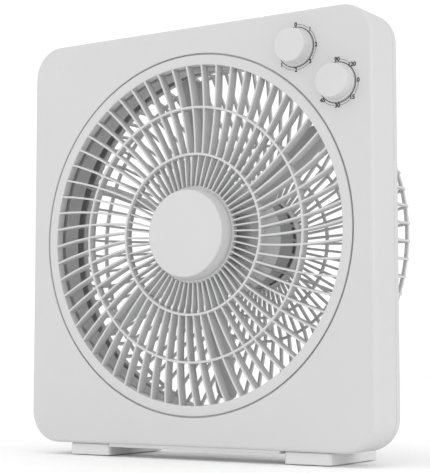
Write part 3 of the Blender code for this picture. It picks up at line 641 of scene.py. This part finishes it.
def build_shroud():
    """Duct ring round the impeller with the channel that guides the grille."""
    bm = bmesh.new()
    add_turned(bm, fillet([
        (RIM_INNER_RADIUS, SHROUD_FRONT, 0.8),
        (GUIDE_RADIUS, SHROUD_FRONT, 0.4),
        (GUIDE_RADIUS, SHROUD_TOP, 0.3),
        (GUIDE_RADIUS + SHROUD_WALL, SHROUD_TOP, 0.3),
        (GUIDE_RADIUS + SHROUD_WALL, SHROUD_FRONT),
        (SHROUD_RADIUS, SHROUD_FRONT, 0.3),
        (SHROUD_RADIUS, SHROUD_FRONT + SHROUD_PLATE, 0.3),
        (RIM_INNER_RADIUS + SHROUD_WALL, SHROUD_FRONT + SHROUD_PLATE, 0.6),
        (RIM_INNER_RADIUS + SHROUD_WALL, SHROUD_BACK, 0.4),
        (RIM_INNER_RADIUS, SHROUD_BACK, 0.4),
    ]), LARGE_STEPS)
    return finish_mesh("shroud_skin", bm, GRILLE_WHITE, "housing", ["shroud"])


# ---------------------------------------------------------------------------------------------
# Grille
# ---------------------------------------------------------------------------------------------


def sweep_angle(stations, radius):
    """Clockwise angle of a swept vane at a radius, from a smooth curve through its stations."""
    total = 0.0
    for i, (radius_i, angle_i) in enumerate(stations):
        weight = 1.0
        for j, (radius_j, _) in enumerate(stations):
            if j != i:
                weight *= (radius - radius_j) / (radius_i - radius_j)
        total += angle_i * weight
    return total


def add_vane(bm, stations, outer, inner, turn, thickness, front, back, count=16):
    """One curved vane: a thin blade set on edge, with a rounded front edge."""
    path = []
    middle = (front + back) / 2.0
    for step in range(count + 1):
        radius = outer + (inner - outer) * step / count
        angle = sweep_angle(stations, radius) + turn
        ahead = sweep_angle(stations, radius - 0.5) + turn
        x, z = polar(radius, angle)
        x_ahead, z_ahead = polar(radius - 0.5, ahead)
        along = Vector((x_ahead - x, 0.0, z_ahead - z)).normalized()
        across = Vector((along.z, 0.0, -along.x))
        path.append((point(x, middle, z), across, Vector((0.0, 1.0, 0.0))))
    half = thickness / 2.0
    height = (back - front) / 2.0
    section = fillet([
        (-half, -height, 0.5),
        (half, -height, 0.5),
        (half * 0.8, height, 0.2),
        (-half * 0.8, height, 0.2),
    ], segments=3)
    add_swept_bar(bm, path, section)


def build_grille():
    """Turning grille: channel rim, two rings, swept vanes, inner ribs and a hub plate."""
    bm = bmesh.new()
    flange_front, flange_back = FLANGE
    channel_inner, channel_outer = CHANNEL_RADII
    add_turned(bm, fillet([
        (RIM_INNER_RADIUS, 0.0, 0.8),
        (RIM_RADIUS, 0.0, 0.8),
        (RIM_RADIUS, flange_front),
        (FLANGE_RADIUS, flange_front, 0.3),
        (FLANGE_RADIUS, flange_back, 0.3),
        (channel_outer, flange_back),
        (channel_outer, CHANNEL_FRONT),
        (channel_inner, CHANNEL_FRONT),
        (channel_inner, RIM_DEPTH, 0.3),
        (RIM_INNER_RADIUS, RIM_DEPTH, 0.3),
    ]), LARGE_STEPS)
    for radius in RING_RADII:
        half = RING_THICKNESS / 2.0
        add_turned(bm, fillet([
            (radius - half, 0.0, 0.6),
            (radius + half, 0.0, 0.6),
            (radius + half, RING_DEPTH, 0.3),
            (radius - half, RING_DEPTH, 0.3),
        ]), LARGE_STEPS)
    add_turned(bm, fillet([
        (0.0, GRILLE_HUB_FRONT),
        (GRILLE_HUB_RADIUS, GRILLE_HUB_FRONT, 0.7),
        (GRILLE_HUB_RADIUS, RING_DEPTH, 0.5),
        (0.0, RING_DEPTH),
    ]), MEDIUM_STEPS)
    outer_ring, inner_ring = RING_RADII
    rib = VANE_THICKNESS * RIB_THINNING
    zones = (
        (VANE_SWEEP, RIM_INNER_RADIUS + 0.6, outer_ring + 0.4, VANE_THICKNESS, VANE_FRONT),
        (VANE_SWEEP, outer_ring - 0.4, inner_ring + 0.4, VANE_THICKNESS, VANE_FRONT),
        (RIB_SWEEP, inner_ring - 0.4, GRILLE_HUB_RADIUS - 0.6, rib, RIB_FRONT),
    )
    for stations, outer, inner, thickness, front in zones:
        for index in range(VANE_COUNT):
            turn = 360.0 * index / VANE_COUNT
            add_vane(bm, stations, outer, inner, turn, thickness, front, VANE_BACK)
    return finish_mesh("grille_skin", bm, GRILLE_WHITE, "grille", ["grille"])


def build_hub_cap():
    """Plain disc over the middle of the grille, flat with a soft edge."""
    bm = bmesh.new()
    face_radius, panel_radius, back_radius = CAP_RADII
    bore_end_radius, bore_radius = CAP_BORE_RADII
    add_turned(bm, fillet([
        (0.0, CAP_FRONT),
        (face_radius, CAP_FRONT, 2.2),
        (panel_radius, -0.5, 1.0),
        (back_radius, CAP_BACK, 0.3),
        (bore_radius, CAP_BACK, 0.3),
        (bore_end_radius, CAP_FRONT + CAP_WALL + 0.4, 1.0),
        (0.0, CAP_FRONT + CAP_WALL),
    ], segments=6), MEDIUM_STEPS)
    return finish_mesh("hub_cap_skin", bm, KNOB_WHITE, "grille", ["hub_cap"])


# ---------------------------------------------------------------------------------------------
# Impeller and motor
# ---------------------------------------------------------------------------------------------


def build_impeller():
    """Cup hub and six steeply set blades with rounded tips."""
    bm = bmesh.new()
    add_turned(bm, fillet([
        (IMPELLER_BORE_RADIUS, IMPELLER_HUB_FRONT, 0.3),
        (IMPELLER_HUB_RADIUS, IMPELLER_HUB_FRONT, 3.0),
        (IMPELLER_HUB_RADIUS, IMPELLER_HUB_BACK, 0.4),
        (IMPELLER_HUB_INNER_RADIUS, IMPELLER_HUB_BACK, 0.4),
        (IMPELLER_HUB_INNER_RADIUS, IMPELLER_HUB_FRONT + IMPELLER_HUB_WALL, 1.5),
        (IMPELLER_BOSS_RADIUS, IMPELLER_HUB_FRONT + IMPELLER_HUB_WALL, 0.5),
        (IMPELLER_BOSS_RADIUS, IMPELLER_BOSS_BACK, 0.4),
        (IMPELLER_BORE_RADIUS, IMPELLER_BOSS_BACK, 0.4),
    ]), MEDIUM_STEPS)
    for blade in range(BLADE_COUNT):
        add_blade(bm, math.radians(BLADE_FIRST_ANGLE + 360.0 * blade / BLADE_COUNT))
    return finish_mesh("impeller_skin", bm, FAN_GREY, "fan", ["impeller"])


def add_blade(bm, angle, count=18):
    """One blade from the hub to a rounded tip, thinner towards the tip."""
    radial = Vector((math.sin(angle), 0.0, math.cos(angle)))
    sideways = Vector((math.cos(angle), 0.0, -math.sin(angle)))
    backwards = Vector((0.0, 1.0, 0.0))
    root = IMPELLER_HUB_RADIUS - 1.0
    root_front, tip_front = BLADE_FRONT_DEPTHS
    loops = []
    for step in range(count + 1):
        t = step / count
        front = Vector((BLADE_OFFSETS[0], root_front + (tip_front - root_front) * t))
        back = Vector((BLADE_OFFSETS[1], BLADE_BACK_DEPTH))
        chord = back - front
        run = chord.normalized()
        past_start = max(0.0, (t - BLADE_TIP_START) / (1.0 - BLADE_TIP_START))
        rounding = BLADE_TIP_ROUNDING * past_start ** 2
        middle = (front + back) / 2.0
        centre = point(0.0, middle.y, 0.0)
        centre += radial * ((root + (BLADE_TIP_RADIUS - root) * t) * MM) + sideways * (middle.x * MM)
        chord_way = sideways * run.x + backwards * run.y
        face_way = sideways * run.y - backwards * run.x
        thickness = BLADE_THICKNESS * (1.0 - BLADE_THINNING * t)
        section = rounded_section(thickness, chord.length - 2.0 * rounding, 0.8)
        loops.append([centre + face_way * (a * MM) + chord_way * (b * MM) for a, b in section])
    rows = add_loops(bm, loops)
    bm.faces.new(rows[0])
    bm.faces.new(rows[-1])


def build_motor():
    """The two bells of the motor, with rounded shoulders, rolled seams, a band of rear vents and a dark
    ring of painted shade inside them.
    """
    bm = bmesh.new()
    add_turned(bm, fillet([
        (MOTOR_BORE_RADIUS, MOTOR_FRONT, 0.3),
        (MOTOR_RADIUS, MOTOR_FRONT, 5.0),
        (MOTOR_RADIUS, MOTOR_SPLIT - MOTOR_SEAM_WIDTH - 0.4, 0.3),
        (MOTOR_SEAM_RADIUS, MOTOR_SPLIT - MOTOR_SEAM_WIDTH, 0.3),
        (MOTOR_SEAM_RADIUS, MOTOR_SPLIT, 0.3),
        (MOTOR_INNER_RADIUS, MOTOR_SPLIT, 0.3),
        (MOTOR_INNER_RADIUS, MOTOR_FRONT + 2.2, 2.0),
        (MOTOR_BOSS_RADIUS, MOTOR_FRONT + 2.2, 0.4),
        (MOTOR_BOSS_RADIUS, MOTOR_FRONT + MOTOR_BOSS_LENGTH, 0.3),
        (MOTOR_BORE_RADIUS, MOTOR_FRONT + MOTOR_BOSS_LENGTH, 0.3),
    ]), MEDIUM_STEPS)
    finish_mesh("motor_bell_front_skin", bm, MOTOR_GREY, "housing", ["motor_bell_front"])
    bm = bmesh.new()
    seam = MOTOR_SPLIT + 0.3
    vent_front, vent_back = MOTOR_VENT
    add_turned(bm, fillet([
        (MOTOR_BORE_RADIUS, MOTOR_BACK - MOTOR_BOSS_LENGTH, 0.3),
        (MOTOR_BOSS_RADIUS, MOTOR_BACK - MOTOR_BOSS_LENGTH, 0.3),
        (MOTOR_BOSS_RADIUS, MOTOR_BACK - 3.0, 0.4),
        (MOTOR_INNER_RADIUS, MOTOR_BACK - 3.0, 2.0),
        (MOTOR_INNER_RADIUS, seam, 0.3),
        (MOTOR_SEAM_RADIUS, seam, 0.3),
        (MOTOR_SEAM_RADIUS, seam + MOTOR_SEAM_WIDTH, 0.3),
        (MOTOR_RADIUS, seam + MOTOR_SEAM_WIDTH + 0.4, 0.3),
        (MOTOR_RADIUS, vent_front),
        (MOTOR_RADIUS - MOTOR_VENT_DEPTH, vent_front),
        (MOTOR_RADIUS - MOTOR_VENT_DEPTH, vent_back),
        (MOTOR_RADIUS, vent_back),
        (MOTOR_RADIUS, MOTOR_BACK, 1.5),
        (MOTOR_BORE_RADIUS, MOTOR_BACK, 0.3),
    ]), MEDIUM_STEPS)
    post = rounded_section(*MOTOR_VENT_POST, 0.3, segments=1)
    post_radius = MOTOR_RADIUS - MOTOR_VENT_POST_INSET
    for index in range(MOTOR_VENT_COUNT):
        dx, dz = polar(1.0, index * 360.0 / MOTOR_VENT_COUNT)
        radial = Vector((dx, 0.0, dz))
        across = Vector((dz, 0.0, -dx))
        path = []
        for depth in (vent_front - 0.2, vent_back + 0.2):
            path.append((point(0.0, depth, 0.0) + radial * (post_radius * MM), across, radial))
        add_swept_bar(bm, path, post)
    finish_mesh("motor_bell_rear_skin", bm, MOTOR_GREY, "housing", ["motor_bell_rear"])
    # Painted shade: a dark ring inside the vent groove stands for the shade behind the vents.
    bm = bmesh.new()
    inner = MOTOR_RADIUS - 1.3
    add_turned(bm, [
        (inner, vent_front + 0.1),
        (inner + 0.3, vent_front + 0.1),
        (inner + 0.3, vent_back - 0.1),
        (inner, vent_back - 0.1),
    ], MEDIUM_STEPS)
    finish_mesh("motor_vent_painted_shade", bm, DARK_PLASTIC_AND_VENT_SHADE, "housing")


# ---------------------------------------------------------------------------------------------
# Rear guard
# ---------------------------------------------------------------------------------------------


def build_rear_guard():
    """Domed basket guard: base ring, bent ribs, tie rings and the plate that carries the motor."""
    plate_front, plate_back = GUARD_PLATE
    bm = bmesh.new()
    rings = [GUARD_BASE_RING, GUARD_BEND_RING]
    for radius in GUARD_RING_RADII:
        rings.append((radius - GUARD_RING_HALF, radius + GUARD_RING_HALF, *GUARD_RING_DEPTHS))
    for inner, outer, front, back in rings:
        corners = [(inner, front, 0.6), (outer, front, 0.6), (outer, back, 0.8), (inner, back, 0.8)]
        add_turned(bm, fillet(corners), LARGE_STEPS)
    add_turned(bm, fillet([
        (GUARD_BORE_RADIUS, plate_front, 0.3),
        (GUARD_HUB_RADIUS, plate_front, 1.0),
        (GUARD_HUB_RADIUS, GUARD_BACK - 0.3, 0.8),
        (GUARD_HUB_RADIUS - GUARD_HUB_WALL, GUARD_BACK - 0.3, 0.4),
        (GUARD_HUB_RADIUS - GUARD_HUB_WALL, plate_back, 0.4),
        (GUARD_BORE_RADIUS, plate_back, 0.3),
    ]), MEDIUM_STEPS)
    side_front, side_back = GUARD_SIDE_DEPTHS
    line = fillet([
        (GUARD_SIDE_RADIUS, side_front),
        (GUARD_SIDE_RADIUS, side_back, GUARD_BEND_RADIUS),
        (*GUARD_DOME_KNEE, GUARD_KNEE_RADIUS),
        (GUARD_HUB_RADIUS - 1.0, GUARD_RIB_END),
    ], segments=7)
    section = rounded_section(GUARD_RIB_WIDTH, GUARD_RIB_HEIGHT, 0.8, segments=2)
    for index in range(GUARD_RIB_COUNT):
        angle = math.radians(GUARD_FIRST_ANGLE) + math.tau * index / GUARD_RIB_COUNT
        radial = Vector((math.sin(angle), 0.0, math.cos(angle)))
        across = Vector((math.cos(angle), 0.0, -math.sin(angle)))
        path = []
        for i, (radius, depth) in enumerate(line):
            before = Vector(line[max(i - 1, 0)])
            after = Vector(line[min(i + 1, len(line) - 1)])
            run = (after - before).normalized()
            outward = radial * run.y - Vector((0.0, run.x, 0.0))
            position = point(0.0, depth, 0.0) + radial * (radius * MM)
            path.append((position, across, outward))
        add_swept_bar(bm, path, section)
    finish_mesh("rear_guard_skin", bm, GUARD_WHITE, "housing", ["rear_guard"])

    bm = bmesh.new()
    rim = GUARD_HUB_RADIUS - GUARD_HUB_WALL - COVER_GAP
    add_turned(bm, fillet([
        (0.0, GUARD_BACK),
        (GUARD_HUB_RADIUS - 7.5, GUARD_BACK, 3.0),
        (rim, GUARD_BACK - 1.6, 1.2),
        (rim, plate_back + COVER_GAP, 0.3),
        (rim - COVER_WALL, plate_back + COVER_GAP, 0.3),
        (rim - COVER_WALL, GUARD_BACK - COVER_FACE, 0.6),
        (0.0, GUARD_BACK - COVER_FACE),
    ]), MEDIUM_STEPS)
    finish_mesh("motor_cover_skin", bm, GUARD_WHITE, "housing", ["motor_cover"])


# ---------------------------------------------------------------------------------------------
# Dials and feet
# ---------------------------------------------------------------------------------------------


def node_centre(name):
    """x and z of a CAD node's middle, from the fan axis, in millimetres."""
    low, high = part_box(name)
    return (low.x + high.x) / 2.0 / MM, ((low.z + high.z) / 2.0 - AXIS_Z) / MM


def build_knob(prefix):
    """Plain drum knob with a slight taper and a soft front edge."""
    knob = f"{prefix}_knob"
    x, z = node_centre(knob)
    flange_front, flange_edge = KNOB_FLANGE
    bm = bmesh.new()
    add_turned(bm, fillet([
        (0.0, KNOB_FRONT),
        (KNOB_FACE_RADIUS, KNOB_FRONT, 1.6),
        (KNOB_SIDE_RADIUS, flange_front, 0.3),
        (KNOB_FLANGE_RADIUS, flange_edge, 0.4),
        (KNOB_FLANGE_RADIUS, KNOB_BACK, 0.3),
        (KNOB_BORE_RADIUS, KNOB_BACK, 0.2),
        (KNOB_BORE_RADIUS, KNOB_BORE_END, 0.2),
        (0.0, KNOB_BORE_END),
    ]), MEDIUM_STEPS, x, z)
    finish_mesh(f"{knob}_skin", bm, KNOB_WHITE, f"{prefix}_dial", [knob])


def add_ink_arc(bm, x, z, start, end):
    """Thin printed arc of a dial's scale."""
    count = max(3, int((end - start) / 3.0))
    middle = (INK_FRONT + INK_BACK) / 2.0
    path = []
    for step in range(count + 1):
        dx, dz = polar(1.0, start + (end - start) * step / count)
        outward = Vector((dx, 0.0, dz))
        position = point(x + dx * DIAL_SCALE_RADIUS, middle, z + dz * DIAL_SCALE_RADIUS)
        path.append((position, outward, Vector((0.0, 1.0, 0.0))))
    a = ARC_WIDTH / 2.0
    b = (INK_BACK - INK_FRONT) / 2.0
    add_swept_bar(bm, path, [(-a, -b), (a, -b), (a, b), (-a, b)])


def build_dial_scale(prefix, labels):
    """Printed numerals round a knob, joined by thin arcs, and a dark ring of painted shade round its foot.
    """
    x, z = node_centre(f"{prefix}_knob")
    bm = bmesh.new()
    for (start, text), (end, following) in zip(labels, labels[1:] + labels[:1]):
        end = end if end > start else end + 360
        if end - start > ARC_WIDEST_STEP or text == LONE_LABEL:
            continue
        gap_before = ARC_GAP + ARC_GAP_PER_DIGIT * len(text)
        gap_after = ARC_GAP + ARC_GAP_PER_DIGIT * len(following)
        add_ink_arc(bm, x, z, start + gap_before, end - gap_after)
    finish_mesh(f"{prefix}_scale_arcs", bm, SCALE_INK_AND_SHADE, "housing")
    # Painted shade: a dark ink ring round the knob's foot stands for the shade in the gap between knob and
    # panel.
    inner, outer = KNOB_SHADE_RING_RADII
    line = [(inner, INK_FRONT), (outer, INK_FRONT), (outer, INK_BACK), (inner, INK_BACK)]
    bm = bmesh.new()
    add_turned(bm, line, MEDIUM_STEPS, x, z)
    finish_mesh(f"{prefix}_painted_shade_ring", bm, SCALE_INK_AND_SHADE, "housing")
    for index, (angle, text) in enumerate(labels):
        curve = bpy.data.curves.new(f"{prefix}_numeral_{index}", "FONT")
        curve.body = text
        curve.align_x = "CENTER"
        curve.align_y = "CENTER"
        curve.size = NUMERAL_SIZE * MM
        curve.extrude = NUMERAL_EXTRUDE * MM
        curve.offset = NUMERAL_WEIGHT * MM
        curve.resolution_u = 3
        text_object = bpy.data.objects.new("numeral_source", curve)
        bpy.context.scene.collection.objects.link(text_object)
        dx, dz = polar(DIAL_SCALE_RADIUS, angle)
        text_object.location = point(x + dx, -NUMERAL_EXTRUDE, z + dz)
        text_object.rotation_euler = (math.pi / 2.0, 0.0, 0.0)
        bpy.context.view_layer.update()
        evaluated = text_object.evaluated_get(bpy.context.evaluated_depsgraph_get())
        mesh = bpy.data.meshes.new_from_object(evaluated)
        mesh.transform(text_object.matrix_world)
        bpy.data.objects.remove(text_object)
        bm = bmesh.new()
        bm.from_mesh(mesh)
        bmesh.ops.remove_doubles(bm, verts=bm.verts, dist=0.000001)
        bpy.data.meshes.remove(mesh)
        finish_mesh(f"{prefix}_numeral_{index}", bm, SCALE_INK_AND_SHADE, "housing")


def build_feet():
    """Two skid feet with rounded corners and edges, in a colour lightened to paint light into the shade
    under the housing.
    """
    for side in ("left", "right"):
        low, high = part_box(f"foot_{side}")
        bm = bmesh.new()
        corner_low = (low.x / MM, (low.y - PANEL_Y) / MM, (low.z - AXIS_Z) / MM)
        corner_high = (high.x / MM, (high.y - PANEL_Y) / MM, (high.z - AXIS_Z) / MM)
        add_rounded_block(bm, corner_low, corner_high, FOOT_CORNER_RADIUS, FOOT_EDGE_RADIUS)
        finish_mesh(f"foot_{side}_skin", bm, FOOT_PAINTED_LIGHT, "housing", [f"foot_{side}"])


# ---------------------------------------------------------------------------------------------
# Studio
# ---------------------------------------------------------------------------------------------


def build_studio():
    """White floor, surroundings that light the fan mostly from the front, and three large soft lights."""
    scene = bpy.context.scene
    scene.view_settings.view_transform = "Standard"
    bm = bmesh.new()
    bmesh.ops.create_grid(bm, x_segments=4, y_segments=4, size=6.0)
    mesh = bpy.data.meshes.new("floor")
    bm.to_mesh(mesh)
    bm.free()
    floor = bpy.data.objects.new("floor", mesh)
    scene.collection.objects.link(floor)
    paint = NodeMaterial("floor_white", (0.99, 0.99, 0.99), 0.7, specular=0.2)
    paint.tint(paint.noise(2.0), 0.01)
    paint.gloss(paint.noise(5.0), 0.05)
    mesh.materials.append(paint.material)

    build_surroundings()
    for name, location, size, watts in LIGHTS:
        add_area_light(name, location, size, watts)


def build_surroundings():
    """Plain white to the camera; to the fan it is bright in front and dim behind."""
    world = bpy.data.worlds.new("studio")
    world.use_nodes = True
    nodes = world.node_tree.nodes
    links = world.node_tree.links
    direction = nodes.new("ShaderNodeTexCoord")
    away = nodes.new("ShaderNodeVectorMath")
    away.operation = "DOT_PRODUCT"
    away.inputs[1].default_value = SURROUND_AXIS
    links.new(direction.outputs["Generated"], away.inputs[0])
    fade = nodes.new("ShaderNodeMapRange")
    fade.interpolation_type = "SMOOTHSTEP"
    fade.inputs["From Min"].default_value = SURROUND_FADE[0]
    fade.inputs["From Max"].default_value = SURROUND_FADE[1]
    fade.inputs["To Min"].default_value = SURROUND_FRONT
    fade.inputs["To Max"].default_value = SURROUND_BACK
    links.new(away.outputs["Value"], fade.inputs["Value"])
    light_path = nodes.new("ShaderNodeLightPath")
    choice = nodes.new("ShaderNodeMix")
    links.new(light_path.outputs["Is Camera Ray"], choice.inputs["Factor"])
    links.new(fade.outputs["Result"], choice.inputs["A"])
    choice.inputs["B"].default_value = SURROUND_SEEN
    background = nodes["Background"]
    background.inputs["Color"].default_value = (1.0, 1.0, 1.0, 1.0)
    links.new(choice.outputs["Result"], background.inputs["Strength"])
    bpy.context.scene.world = world


def add_area_light(name, location, size, watts):
    """Square soft light that faces the middle of the fan."""
    data = bpy.data.lights.new(name, "AREA")
    data.shape = "SQUARE"
    data.size = size
    data.energy = watts
    light = bpy.data.objects.new(name, data)
    light.location = location
    aim = Vector((0.0, 0.0, AXIS_Z)) - light.location
    light.rotation_euler = aim.to_track_quat("-Z", "Y").to_euler()
    bpy.context.scene.collection.objects.link(light)


def build_camera():
    """Long-lens camera from the front right, a little below the middle of the fan."""
    data = bpy.data.cameras.new("camera")
    data.lens = CAMERA_LENS
    data.sensor_width = 36.0
    data.clip_start = 0.05
    camera = bpy.data.objects.new("camera", data)
    camera.location = point(*CAMERA_PLACE)
    camera.rotation_euler = (math.radians(CAMERA_TILT), 0.0, math.radians(CAMERA_TURN))
    bpy.context.scene.collection.objects.link(camera)
    bpy.context.scene.camera = camera


build_camera()
build_studio()
dress_cad_nodes()
build_front_shell()
build_rear_shell()
build_sill()
build_shroud()
build_grille()
build_hub_cap()
build_impeller()
build_motor()
build_rear_guard()
build_knob("speed")
build_knob("timer")
build_dial_scale("speed", SPEED_LABELS)
build_dial_scale("timer", TIMER_LABELS)
build_feet()
